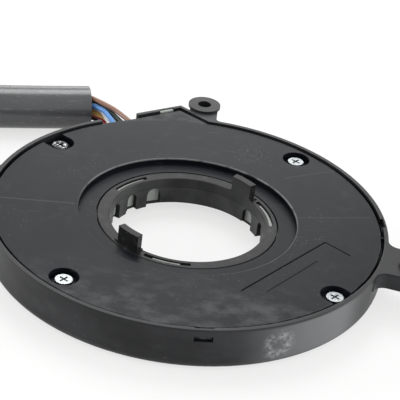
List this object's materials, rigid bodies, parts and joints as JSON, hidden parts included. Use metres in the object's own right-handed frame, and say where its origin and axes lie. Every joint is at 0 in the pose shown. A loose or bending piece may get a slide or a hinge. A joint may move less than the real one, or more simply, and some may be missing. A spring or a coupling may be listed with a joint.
{
  "type": "steering angle sensor",
  "caption": "Flat round steering angle sensor with an open rotor, three mounting ears, a screwed cover and a sleeved wire pigtail that ends in a plug",
  "frame": {"origin": "on the rotor bore's axis, in the plane of the three ears' undersides, where the sensor seats", "axes": "+Z along the bore out of the cover side; +X to the right and +Y to the back as the picture shows the sensor, with the wires leaving at the back left"},
  "size_m": [0.2236, 0.1144, 0.0158],
  "materials": {
    "housing": "semi-gloss moulded",
    "cover": "semi-gloss moulded",
    "screw": "zinc plated",
    "hub": "semi-gloss moulded",
    "natural": "natural, unpigmented",
    "magnet": "sintered",
    "board": "solder mask",
    "chip": "moulded",
    "can": "nickel plated",
    "ceramic": "fired ceramic",
    "sleeve": "soft, semi-gloss",
    "brown": "insulation",
    "green": "insulation",
    "white": "insulation",
    "blue": "insulation",
    "yellow": "insulation",
    "grey": "insulation",
    "tan": "insulation",
    "red": "insulation",
    "black": "insulation",
    "plug": "moulded",
    "latch": "moulded",
    "tin": "tin plated"
  },
  "bodies": {
    "housing": {"housing_base": "housing", "outlet_clip": "natural", "cover_plate": "cover", "cover_screws": "screw", "circuit_board": "board", "sensor_chips": "chip", "microcontroller": "chip", "bus_transceiver": "chip", "voltage_regulator": "chip", "crystal": "can", "capacitors": "ceramic", "resistors": "chip", "gear_carrier": "plug", "terminal_block": "plug", "cable_sleeve": "sleeve", "wire_brown": "brown", "wire_green": "green", "wire_white": "white", "wire_blue": "blue", "wire_yellow": "yellow", "wire_grey": "grey", "wire_tan": "tan", "wire_red": "red", "wire_black": "black", "connector_housing": "plug", "connector_latch": "latch", "connector_terminals": "tin"},
    "rotor": {"rotor_hub": "hub", "drive_gear": "natural"},
    "gear_a": {"measuring_gear_a": "natural", "magnet_a": "magnet"},
    "gear_b": {"measuring_gear_b": "natural", "magnet_b": "magnet"}
  },
  "joints": [
    {"name": "rotor_spin", "type": "hinge", "parent": "housing", "child": "rotor", "pos_m": [0, 0, 0], "axis": [0, 0, 1], "continuous": true},
    {"name": "gear_a_spin", "type": "hinge", "parent": "housing", "child": "gear_a", "pos_m": [-0.00501, -0.03565, 0], "axis": [0, 0, 1], "continuous": true},
    {"name": "gear_b_spin", "type": "hinge", "parent": "housing", "child": "gear_b", "pos_m": [0.01528, -0.03204, 0], "axis": [0, 0, 1], "continuous": true}
  ],
  "couplings": [
    {"joint": "gear_a_spin", "follows": "rotor_spin", "ratio": -3},
    {"joint": "gear_b_spin", "follows": "rotor_spin", "ratio": -3.1765}
  ]
}
